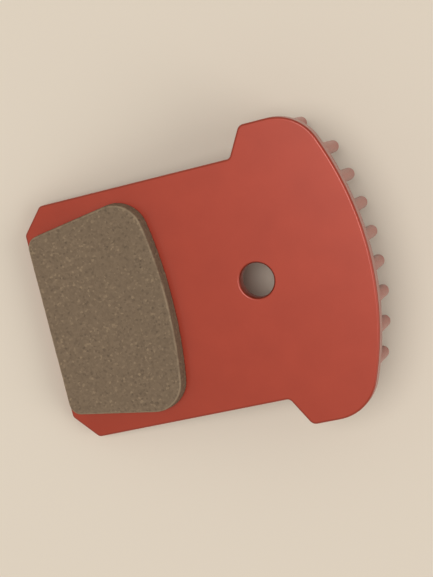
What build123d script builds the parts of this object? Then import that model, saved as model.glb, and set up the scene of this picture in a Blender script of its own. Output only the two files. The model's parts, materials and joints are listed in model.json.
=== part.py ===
from build123d import *
from math import atan2, degrees, radians, sqrt, tan
import os

# A bicycle disc brake pad in two bonded pieces, in millimetres. It is drawn flat: X runs from the
# friction end to the finned head, Y across, and Z out of the front, with the plate's front face at Z = 0.
# It is then laid down as it comes to rest, on its innermost pins and the edge of its friction end.

# Backing plate
plate_thickness = 2.0
neck_length = 28.9  # friction end to the foot of the horns
neck_width = 30.6
head_length = 14.25  # foot of the horns to the crown of the finned edge
horn_height = 3.7  # how far each horn stands out beyond the neck
horn_lean = 30.0  # degrees that the horns' inner sides lean towards the crown
crown_radius = 40.0  # curve of the finned edge
end_chamfer_length = 2.9  # corners cut off the friction end, along the pad
end_chamfer_width = 3.2  # and across it
end_corner_radius = 0.8
shoulder_radius = 0.7  # inside corner between neck and horn
horn_corner_radius = 1.0
crown_corner_radius = 6.0
edge_round = 0.3  # soft edge all round the front
edge_break = 0.3  # small chamfer all round the back

# Hole for the retaining pin, on the middle line
hole_diameter = 4.4
hole_setback = 0.35  # from the foot of the horns, towards the friction end
hole_chamfer = 0.25

# Cooling pins, forged in one with the plate
pins_in_file = (2, 4, 4, 3, 2, 2, 3, 4, 4, 2)  # file by file across the head, counted from the crown
pin_length = 10.0
pin_diameter = 1.7
pin_tip_chamfer = 0.3
pin_pitch = 3.7  # along a file
pin_inset = 1.7  # middle of the first row to the crown
pin_row_flattening = 1.0  # how much larger the first row's radius is than the crown's
outer_file_margin = 1.6  # middle of the outermost files to the horns' ends
outer_file_setback = 1.7  # the outermost files start further in, inside the rounded corners

# Friction block
block_thickness = 2.0
block_length = 16.65  # on the middle line
block_inset = 0.7  # from the plate's friction end
block_margin = 1.3  # plate showing at each side of the block's wide end
block_narrowing = 2.4  # each side, from the wide end to the friction end
block_crown_radius = 60.0  # curve of the wide end
block_draft = 4.0  # degrees that the moulded sides lean in
block_wide_corner_radius = 4.0
block_end_corner_radius = 1.6
block_edge_round = 0.3

# Sizes that follow from the ones above
plate_length = neck_length + head_length
neck_half = neck_width / 2
head_half = neck_half + horn_height
end_half = neck_half - end_chamfer_width
horn_station = neck_length + horn_height * tan(radians(horn_lean))
crown_corner_station = plate_length - crown_radius + sqrt(crown_radius**2 - head_half**2)
file_count = len(pins_in_file)
file_pitch = 2 * (head_half - outer_file_margin) / (file_count - 1)
first_row_radius = crown_radius + pin_row_flattening
hole_station = neck_length - hole_setback
near = 0.01  # a corner is found within this distance of its station


def corners(outline, station):
    """The outline's two corners at a station along the pad, one at each side."""
    return outline.vertices().filter_by_position(Axis.X, station - near, station + near)


def plate_outline():
    """Neck with cut corners, two horns and the curved finned edge."""
    side_points = [
        (0, end_half),
        (end_chamfer_length, neck_half),
        (neck_length, neck_half),
        (horn_station, head_half),
        (crown_corner_station, head_half),
    ]
    with BuildSketch() as outline:
        with BuildLine():
            side = Polyline(*side_points)
            mirror(side, about=Plane.XZ)
            Line((0, end_half), (0, -end_half))
            ThreePointArc(side_points[-1], (plate_length, 0), (crown_corner_station, -head_half))
        make_face()
        fillet(corners(outline, 0), end_corner_radius)
        fillet(corners(outline, end_chamfer_length), end_corner_radius)
        fillet(corners(outline, neck_length), shoulder_radius)
        fillet(corners(outline, horn_station), horn_corner_radius)
        fillet(corners(outline, crown_corner_station), crown_corner_radius)
    return outline.sketch


def pin_places():
    """Middle of every pin: each file starts on the first row's curve and steps in from the crown."""
    last_file = file_count - 1
    for file, pins in enumerate(pins_in_file):
        y = (file - last_file / 2) * file_pitch
        row_sag = first_row_radius - sqrt(first_row_radius**2 - y**2)
        setback = outer_file_setback if file in (0, last_file) else 0
        first_x = plate_length - pin_inset - row_sag - setback
        for step in range(pins):
            yield first_x - step * pin_pitch, y


def cooling_pin():
    """One round pin with a broken edge at its tip, hanging down from Z = 0."""
    pin = Cylinder(pin_diameter / 2, pin_length, align=(Align.CENTER, Align.CENTER, Align.MAX))
    tip_edge = pin.edges().sort_by(Axis.Z)[0]
    return chamfer(tip_edge, pin_tip_chamfer)


def backing_plate():
    """Soft-edged plate with its hole, and the field of cooling pins fused to its back."""
    blank = extrude(plate_outline(), plate_thickness, dir=(0, 0, -1))
    blank = fillet(blank.edges().group_by(Axis.Z)[-1], edge_round)
    blank = chamfer(blank.edges().group_by(Axis.Z)[0], edge_break)
    drill = Cylinder(hole_diameter / 2, plate_thickness, align=(Align.CENTER, Align.CENTER, Align.MAX))
    plate = blank - Pos(hole_station, 0, 0) * drill
    hole_rims = new_edges(blank, combined=plate).filter_by(GeomType.CIRCLE)
    plate = chamfer(hole_rims, hole_chamfer)
    pin = cooling_pin()
    return plate + [Pos(x, y, -plate_thickness) * pin for x, y in pin_places()]


def friction_block():
    """Moulded block that narrows from its curved wide end to the friction end, drafted and soft-edged."""
    wide_half = neck_half - block_margin
    narrow_half = wide_half - block_narrowing
    crown_station = block_inset + block_length
    wide_station = crown_station - block_crown_radius + sqrt(block_crown_radius**2 - wide_half**2)
    outline_points = [
        (wide_station, wide_half),
        (block_inset, narrow_half),
        (block_inset, -narrow_half),
        (wide_station, -wide_half),
    ]
    with BuildSketch() as outline:
        with BuildLine():
            Polyline(*outline_points)
            ThreePointArc(outline_points[-1], (crown_station, 0), outline_points[0])
        make_face()
        fillet(corners(outline, block_inset), block_end_corner_radius)
        fillet(corners(outline, wide_station), block_wide_corner_radius)
    block = extrude(outline.sketch, block_thickness, taper=block_draft)
    return fillet(block.edges().group_by(Axis.Z)[-1], block_edge_round)


def rest_angle():
    """Degrees that the head rises: the floor touches the end's lower edge and the innermost pin tips."""
    tip_flat_radius = pin_diameter / 2 - pin_tip_chamfer
    innermost_tip = min(x for x, y in pin_places()) - tip_flat_radius
    return degrees(atan2(pin_length, innermost_tip - edge_break))


pieces = {"backing_plate": backing_plate(), "friction_block": friction_block()}
raise_head = Rot(0, -rest_angle(), 0)
raised_box = Compound([raise_head * piece for piece in pieces.values()]).bounding_box()
lay_down = Pos(-raised_box.center().X, 0, -raised_box.min.Z) * raise_head

os.makedirs("parts", exist_ok=True)
for node, piece in pieces.items():
    export_step(lay_down * piece, f"parts/{node}.step")
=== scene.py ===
import json
import math

import bmesh
import bpy
from mathutils import Color, Matrix, Vector, noise


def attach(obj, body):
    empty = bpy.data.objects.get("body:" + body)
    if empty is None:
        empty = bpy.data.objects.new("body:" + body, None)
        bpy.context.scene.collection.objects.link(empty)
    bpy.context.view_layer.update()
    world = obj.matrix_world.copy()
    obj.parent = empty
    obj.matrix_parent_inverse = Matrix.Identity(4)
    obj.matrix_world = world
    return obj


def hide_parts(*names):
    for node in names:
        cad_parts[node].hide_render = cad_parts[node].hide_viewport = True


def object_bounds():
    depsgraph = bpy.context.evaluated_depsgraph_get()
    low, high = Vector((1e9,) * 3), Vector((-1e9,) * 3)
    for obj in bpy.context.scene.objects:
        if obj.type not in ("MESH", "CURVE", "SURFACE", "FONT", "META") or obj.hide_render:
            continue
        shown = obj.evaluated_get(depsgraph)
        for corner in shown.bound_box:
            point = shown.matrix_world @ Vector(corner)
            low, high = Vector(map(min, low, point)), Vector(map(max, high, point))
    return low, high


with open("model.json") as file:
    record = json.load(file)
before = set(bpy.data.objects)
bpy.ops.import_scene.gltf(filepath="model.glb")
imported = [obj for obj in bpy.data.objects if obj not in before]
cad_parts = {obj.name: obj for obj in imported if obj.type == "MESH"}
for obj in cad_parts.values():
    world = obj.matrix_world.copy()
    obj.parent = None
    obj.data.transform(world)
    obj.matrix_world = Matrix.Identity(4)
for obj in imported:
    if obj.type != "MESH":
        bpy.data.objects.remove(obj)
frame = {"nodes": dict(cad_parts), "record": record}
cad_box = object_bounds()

# A bicycle disc brake pad that lies friction side up. Shapes are worked on in pad millimetres: X runs
# from the friction end to the finned head, Y across and Z out of the front, and the middle of the
# retaining-pin hole is at zero.

MM = 0.001  # a pad millimetre in metres

# Meshes
WELD = 1e-4  # points closer than this are one
SAME_FACE = math.radians(0.1)  # faces that turn less than this are joined
SHARP_EDGE = math.radians(40)  # edges that turn more than this are shaded sharp

# Cooling pins: how a forged pin differs from the CAD model's straight one
PIN_DRAFT = 0.05  # radius gained at the root and lost at the tip
PIN_ROOT_FILLET = 0.12
PIN_TIP_ROUND = 0.42
PIN_FILLET_STEPS = 4
PIN_TIP_STEPS = 6
PIN_START = 1e-3  # a face whose middle is further than this below the plate's back belongs to a pin

# Friction block: the grain, pits and crumbled edges of its moulded surface
SKIN_VOXEL = 0.13  # size of the skin's small faces
GRAIN_SIZE = 0.4
GRAIN_HEIGHT = 0.012  # of its crests above its middle level
GRAIN_LAYERS = 3
GRAIN_STEP = 2.0  # how many times finer each layer of grain is than the one before
GRAIN_FADE = 0.6  # and how much weaker, as a power of that step
PIT_SPACING = 1.5
PIT_RADIUS = 0.26
PIT_DEPTH = 0.05
PIT_SHARE = 0.725  # of the places where a pit could be
PIT_DRAW = 5  # spreads the pits over the cells of the noise that says which of them are there
CHIP_SIZE = 0.9
CHIP_DEPTH = 0.22
FOOT = 0.2  # all of these fade out over this height, down to the plate
PAINTED_HIGHLIGHT = "painted_highlight"  # name of the mesh's measure of the painted highlight along the block's top edges at each point

# Camera: where it stands and which way is up in the picture, in the pad's own axes
CAMERA_PLACE = Vector((57.2, 17.1, 189.8))
PICTURE_UP = Vector((0.221, 0.969, -0.114))
PICTURE_SIZE = (433, 577)
PICTURE_FILL = 0.88  # how much of the way from the picture's middle to its side the pad reaches

# Stage
FLOOR_HALF = 1.5  # half of each side, in metres
DAYLIGHT = (1.0, 0.98, 0.95, 1.0)
DAYLIGHT_STRENGTH = 0.47

# The pad's own axes, from two of the record's mounts
mounts = {mount["name"]: mount for mount in frame["record"]["mounts"]}
hole_middle = Vector(mounts["retaining_pin_hole"]["pos_m"])
front = Vector(mounts["retaining_pin_hole"]["axis"])
across = Vector((0, 1, 0))
along = across.cross(front)
pad_axes = Matrix((along, across, front)).transposed().to_4x4()
from_pad = Matrix.Translation(hole_middle) @ pad_axes @ Matrix.Scale(MM, 4)
to_pad = from_pad.inverted()
plate_back = (to_pad @ Vector(mounts["piston_face"]["pos_m"])).z


def cad_shape(node):
    """A welded copy of a CAD node's mesh, in pad millimetres."""
    shape = bmesh.new()
    shape.from_mesh(frame["nodes"][node].data)
    bmesh.ops.transform(shape, matrix=to_pad, verts=shape.verts)
    bmesh.ops.remove_doubles(shape, verts=shape.verts, dist=WELD)
    return shape


def finished_mesh(shape, name):
    """Turns a shape into a mesh and frees it."""
    mesh = bpy.data.meshes.new(name)
    shape.to_mesh(mesh)
    shape.free()
    return mesh


def add_piece(mesh, node, material):
    """Shows a mesh, given in pad millimetres, in place of its CAD node."""
    mesh.transform(from_pad)
    mesh.materials.append(material)
    piece = bpy.data.objects.new(mesh.name, mesh)
    bpy.context.collection.objects.link(piece)
    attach(piece, "root")
    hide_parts(node)
    return piece


# Forged plate


def open_rings(shape):
    """Every ring of open edges, as its vertices in order."""
    left = dict.fromkeys(edge for edge in shape.edges if edge.is_boundary)
    while left:
        first = next(iter(left))
        del left[first]
        ring = list(first.verts)
        while ring[-1] is not ring[0]:
            edge = next(edge for edge in ring[-1].link_edges if edge in left)
            del left[edge]
            ring.append(edge.other_vert(ring[-1]))
        yield ring[:-1]


def pin_profile(radius, length):
    """Radius and depth of a pin's rings, from the foot of its root fillet to the rim of its flat tip."""
    for step in range(PIN_FILLET_STEPS + 1):
        turn = math.pi / 2 * step / PIN_FILLET_STEPS
        swell = PIN_ROOT_FILLET * (1 - math.sin(turn))
        yield radius + PIN_DRAFT + swell, PIN_ROOT_FILLET * (1 - math.cos(turn))
    for step in range(PIN_TIP_STEPS + 1):
        turn = math.pi / 2 * step / PIN_TIP_STEPS
        shrink = PIN_TIP_ROUND * (1 - math.cos(turn))
        yield radius - PIN_DRAFT - shrink, length - PIN_TIP_ROUND * (1 - math.sin(turn))


def grow_pin(shape, ring, length):
    """Widens a ring on the plate's back into a root fillet, and grows the pin from it."""
    middle = sum((vert.co for vert in ring), Vector()) / len(ring)
    radius = (ring[0].co - middle).length
    spokes = [(vert.co - middle).normalized() for vert in ring]
    rings = [
        [middle + spoke * size - Vector((0, 0, depth)) for spoke in spokes]
        for size, depth in pin_profile(radius, length)
    ]
    for vert, place in zip(ring, rings[0]):
        vert.co = place
    for places in rings[1:]:
        grown = [shape.verts.new(place) for place in places]
        for k in range(len(grown)):
            shape.faces.new((ring[k - 1], ring[k], grown[k], grown[k - 1]))
        ring = grown
    shape.faces.new(ring)


def forged_plate():
    """The CAD plate with its straight pins grown again as forged ones."""
    shape = cad_shape("backing_plate")
    pin_length = plate_back - min(vert.co.z for vert in shape.verts)
    straight_pins = [face for face in shape.faces if face.calc_center_median().z < plate_back - PIN_START]
    bmesh.ops.delete(shape, geom=straight_pins, context="FACES")
    for ring in list(open_rings(shape)):
        grow_pin(shape, ring, pin_length)
    bmesh.ops.dissolve_limit(shape, angle_limit=SAME_FACE, verts=shape.verts, edges=shape.edges)
    bmesh.ops.recalc_face_normals(shape, faces=shape.faces)
    mesh = finished_mesh(shape, "forged_plate")
    mesh.shade_smooth()
    mesh.set_sharp_from_angle(angle=SHARP_EDGE)
    return mesh


# Friction block


def remeshed(mesh, voxel):
    """The mesh as an even skin of small quads."""
    holder = bpy.data.objects.new("remesh_holder", mesh)
    bpy.context.collection.objects.link(holder)
    skin = holder.modifiers.new("skin", "REMESH")
    skin.mode = "VOXEL"
    skin.voxel_size = voxel
    depsgraph = bpy.context.evaluated_depsgraph_get()
    result = bpy.data.meshes.new_from_object(holder.evaluated_get(depsgraph))
    bpy.data.objects.remove(holder)
    return result


def pit_depth(place):
    """How deep the surface dips at a place, from shallow pits scattered over it."""
    distances, middles = noise.voronoi(place / PIT_SPACING)
    draw = (noise.cell(middles[0] * PIT_DRAW) + 1) / 2  # cell noise lies between -1 and 1
    if draw > PIT_SHARE:
        return 0.0
    reach = distances[0] * PIT_SPACING / PIT_RADIUS
    return PIT_DEPTH * max(0.0, 1 - reach * reach)


def top_edge(normal):
    """How far a place is round the edge between top and side: 1 halfway and 0 on both faces."""
    return 4 * normal.z**2 * (1 - normal.z**2) if normal.z > 0 else 0.0


def moulded_block():
    """The CAD block with a granular, lightly pitted skin and slightly crumbled edges, and how much painted
    highlight each point along its top edges gets.
    """
    mesh = remeshed(finished_mesh(cad_shape("friction_block"), "friction_skin"), SKIN_VOXEL)
    mesh.name = "moulded_block"
    foot = min(vert.co.z for vert in mesh.vertices)
    moved = []
    painted_highlight = []
    for vert in mesh.vertices:
        place = vert.co.copy()
        normal = vert.normal.copy()
        free = min(1.0, (place.z - foot) / FOOT)
        on_edge = 1 - max(abs(part) for part in normal)
        grain = GRAIN_HEIGHT * noise.fractal(place / GRAIN_SIZE, GRAIN_FADE, GRAIN_STEP, GRAIN_LAYERS)
        crumble = noise.noise(place / CHIP_SIZE)
        chip = CHIP_DEPTH * on_edge * max(0.0, crumble)
        inward = GRAIN_HEIGHT - grain + chip + pit_depth(place)
        moved.append(place - normal * max(0.0, inward) * free)
        # Painted highlight: strongest halfway round the top edges, and patchy by the crumble noise
        painted_highlight.append(top_edge(normal) * (1 + crumble) / 2)
    for vert, place in zip(mesh.vertices, moved):
        vert.co = place
    mesh.attributes.new(PAINTED_HIGHLIGHT, "FLOAT", "POINT").data.foreach_set("value", painted_highlight)
    mesh.shade_smooth()
    return mesh


# Materials


def srgb(red, green, blue):
    """A colour as a picture gives it, 0 to 255, in the linear form that nodes take."""
    return (*Color((red / 255, green / 255, blue / 255)).from_srgb_to_scene_linear(), 1.0)


DEEP_RED = srgb(147, 44, 20)
LIGHT_RED = srgb(153, 48, 24)
EDGE_RED = srgb(214, 128, 108)
COMPOUND = srgb(116, 98, 78)
# Colour of the painted highlight along the block's top edges
HIGHLIGHTED_COMPOUND = srgb(160, 140, 114)
PALE_CARD = srgb(219, 207, 190)

# Colour of a grain of the compound, by a number between 0 and 1 that each grain has
GRAIN_COLOURS = [
    (0.0, srgb(84, 70, 56)),
    (0.1, srgb(106, 89, 71)),
    (0.5, COMPOUND),
    (0.9, srgb(125, 106, 85)),
    (0.98, srgb(146, 125, 99)),
]

# Ranges of a measure, from where its effect begins to where it is full
NOISE_RANGE = (0.3, 0.7)
EDGE_RANGE = (0.995, 0.90)
PAINTED_HIGHLIGHT_RANGE = (0.05, 0.7)


def add_node(tree, kind, inputs=None, **settings):
    """Adds a shader node. An input is a plain value or another node's output."""
    made = tree.nodes.new("ShaderNode" + kind)
    for name, value in settings.items():
        setattr(made, name, value)
    for key, value in (inputs or {}).items():
        if isinstance(value, bpy.types.NodeSocket):
            tree.links.new(value, made.inputs[key])
        else:
            made.inputs[key].default_value = value
    return made


def new_material(name, **fixed):
    """A material, its nodes and its shader. Fixed inputs are named with underscores for spaces."""
    material = bpy.data.materials.new(name)
    material.use_nodes = True
    shader = material.node_tree.nodes["Principled BSDF"]
    for key, value in fixed.items():
        shader.inputs[key.replace("_", " ")].default_value = value
    return material, material.node_tree, shader


def texture_at(tree, kind, size, **inputs):
    """Outputs of a texture fixed to the object, with features of about that size in millimetres."""
    place = add_node(tree, "TexCoord").outputs["Object"]
    return add_node(tree, kind, {"Vector": place, "Scale": 1 / (size * MM), **inputs}).outputs


def noise_at(tree, size, detail):
    """Noise with features of about that size in millimetres."""
    return texture_at(tree, "TexNoise", size, Detail=detail)["Fac"]


def spread(tree, value, source, target):
    """A value mapped from one range to another."""
    inputs = {
        "Value": value,
        "From Min": source[0],
        "From Max": source[1],
        "To Min": target[0],
        "To Max": target[1],
    }
    return add_node(tree, "MapRange", inputs).outputs["Result"]


def mixed(tree, share, first, second):
    """Two colours mixed by a share."""
    factor, colour_a, colour_b, result = 0, 6, 7, 2  # the Mix node's sockets for colours
    inputs = {factor: share, colour_a: first, colour_b: second}
    return add_node(tree, "Mix", inputs, data_type="RGBA").outputs[result]


def mixed_shaders(tree, share, first, second):
    """Two shaders mixed by a share."""
    return add_node(tree, "MixShader", {0: share, 1: first, 2: second}).outputs["Shader"]


def ramp(tree, value, stops):
    """The colour that a value has on a ramp of stops, each a position and a colour."""
    made = add_node(tree, "ValToRGB", {"Fac": value})
    elements = made.color_ramp.elements
    elements[0].position, elements[0].color = stops[0]
    elements[1].position, elements[1].color = stops[-1]
    for position, colour in stops[1:-1]:
        elements.new(position).color = colour
    return made.outputs["Color"]


def flatness(tree, width):
    """How flat the surface is: 1 on a face, and less within a width in millimetres of an edge."""
    rounded = add_node(tree, "Bevel", {"Radius": width * MM}, samples=8).outputs["Normal"]
    true_normal = add_node(tree, "NewGeometry").outputs["Normal"]
    agree = add_node(tree, "VectorMath", {0: rounded, 1: true_normal}, operation="DOT_PRODUCT")
    return agree.outputs["Value"]


def add_texture(tree, shader, size, detail, roughness, bump, depth):
    """Fine noise in a shader's roughness and as bumps, with size and depth in millimetres."""
    fine = noise_at(tree, size, detail)
    tree.links.new(spread(tree, fine, NOISE_RANGE, roughness), shader.inputs["Roughness"])
    bumps = add_node(tree, "Bump", {"Height": fine, "Strength": bump, "Distance": depth * MM})
    tree.links.new(bumps.outputs["Normal"], shader.inputs["Normal"])


def anodised_aluminium():
    """Satin red anodising over a blasted forging, a little paler where the edges are rounded."""
    material, tree, shader = new_material(
        "anodised_aluminium", Metallic=0.5, Specular_IOR_Level=0.2, Coat_Weight=0.8, Coat_Roughness=0.25
    )
    mottle = spread(tree, noise_at(tree, size=5.0, detail=3.0), NOISE_RANGE, (0.0, 1.0))
    red = mixed(tree, mottle, DEEP_RED, LIGHT_RED)
    paler = spread(tree, flatness(tree, width=0.3), EDGE_RANGE, (0.0, 0.35))
    tree.links.new(mixed(tree, paler, red, EDGE_RED), shader.inputs["Base Color"])
    add_texture(tree, shader, size=0.14, detail=3.0, roughness=(0.36, 0.5), bump=0.35, depth=0.02)
    return material


def friction_compound():
    """Grey-brown compound of fine grains with dark and brassy flecks, with a painted highlight along its
    top edges.
    """
    material, tree, shader = new_material("friction_compound", Specular_IOR_Level=0.3)
    grains = texture_at(tree, "TexVoronoi", size=0.26)["Color"]
    chance = add_node(tree, "SeparateColor", {"Color": grains}).outputs["Red"]
    cloud = spread(tree, noise_at(tree, size=2.2, detail=4.0), NOISE_RANGE, (0.25, 0.6))
    colour = mixed(tree, cloud, ramp(tree, chance, GRAIN_COLOURS), COMPOUND)
    # Painted highlight along the block's top edges, read from the mesh's measure
    painted_highlight = add_node(tree, "Attribute", attribute_name=PAINTED_HIGHLIGHT).outputs["Fac"]
    paler = spread(tree, painted_highlight, PAINTED_HIGHLIGHT_RANGE, (0.0, 0.6))
    tree.links.new(mixed(tree, paler, colour, HIGHLIGHTED_COMPOUND), shader.inputs["Base Color"])
    add_texture(tree, shader, size=0.2, detail=4.0, roughness=(0.72, 0.95), bump=0.6, depth=0.05)
    return material


# Stage


def floor_material():
    """Pale card, seen only from above so that the pad's underside can be looked at."""
    material, tree, shader = new_material(
        "floor", Base_Color=PALE_CARD, Roughness=0.9, Specular_IOR_Level=0.0
    )
    from_below = add_node(tree, "NewGeometry").outputs["Backfacing"]
    clear = add_node(tree, "BsdfTransparent").outputs["BSDF"]
    surface = mixed_shaders(tree, from_below, shader.outputs["BSDF"], clear)
    tree.links.new(surface, tree.nodes["Material Output"].inputs["Surface"])
    return material


def add_floor():
    """A wide square of pale card for the pad to lie on."""
    signs = [(-1, -1), (1, -1), (1, 1), (-1, 1)]
    corners = [(x * FLOOR_HALF, y * FLOOR_HALF, 0) for x, y in signs]
    mesh = bpy.data.meshes.new("floor")
    mesh.from_pydata(corners, [], [(0, 1, 2, 3)])
    mesh.materials.append(floor_material())
    floor = bpy.data.objects.new("floor", mesh)
    bpy.context.collection.objects.link(floor)


def soft_daylight():
    """Even light from all round, in front of a backdrop as pale as the floor."""
    world = bpy.data.worlds.new("daylight")
    world.use_nodes = True
    tree = world.node_tree
    light = tree.nodes["Background"]
    light.inputs["Color"].default_value = DAYLIGHT
    light.inputs["Strength"].default_value = DAYLIGHT_STRENGTH
    backdrop = add_node(tree, "Background", {"Color": PALE_CARD})
    path = add_node(tree, "LightPath").outputs
    seen = path["Is Camera Ray"]
    for ray in ("Is Glossy Ray", "Is Transmission Ray"):
        seen = add_node(tree, "Math", {0: seen, 1: path[ray]}, operation="MAXIMUM").outputs["Value"]
    surface = mixed_shaders(tree, seen, light.outputs["Background"], backdrop.outputs["Background"])
    tree.links.new(surface, tree.nodes["World Output"].inputs["Surface"])
    return world


def add_lamp(name, direction, angle, strength):
    """A soft lamp far away: which way it stands, how wide it looks in degrees and how strong it is."""
    light = bpy.data.lights.new(name, "SUN")
    light.angle = math.radians(angle)
    light.energy = strength
    lamp = bpy.data.objects.new(name, light)
    lamp.rotation_euler = (-direction).to_track_quat("-Z", "Y").to_euler()
    bpy.context.collection.objects.link(lamp)


def add_camera(subject):
    """A camera at the photograph's angle, with a lens that fits the subject to the picture's width."""
    place = from_pad @ CAMERA_PLACE
    ahead = (sum(cad_box, Vector()) / 2 - place).normalized()
    right = ahead.cross(pad_axes @ PICTURE_UP).normalized()
    up = right.cross(ahead)
    data = bpy.data.cameras.new("camera")
    camera = bpy.data.objects.new("camera", data)
    camera.matrix_world = Matrix.Translation(place) @ Matrix((right, up, -ahead)).transposed().to_4x4()
    bpy.context.collection.objects.link(camera)
    bpy.context.scene.camera = camera

    # Tangents of half the picture's angles: the sensor's width lies along the picture's longer side
    sights = [vert.co - place for vert in subject.data.vertices]
    half_width = max(abs(sight.dot(right) / sight.dot(ahead)) for sight in sights) / PICTURE_FILL
    half_height = half_width * PICTURE_SIZE[1] / PICTURE_SIZE[0]
    data.lens = data.sensor_width / 2 / half_height


# The pad on its stage
plate = add_piece(forged_plate(), "backing_plate", anodised_aluminium())
plate.modifiers.new("flat_faces", "WEIGHTED_NORMAL").keep_sharp = True
add_piece(moulded_block(), "friction_block", friction_compound())

add_floor()
bpy.context.scene.world = soft_daylight()
add_lamp("key", direction=Vector((-0.27, 0.1, 0.96)), angle=28, strength=1.4)
add_lamp("fill", direction=Vector((0.8, -0.4, 0.8)), angle=45, strength=0.65)
add_camera(plate)
bpy.context.scene.view_settings.view_transform = "Standard"
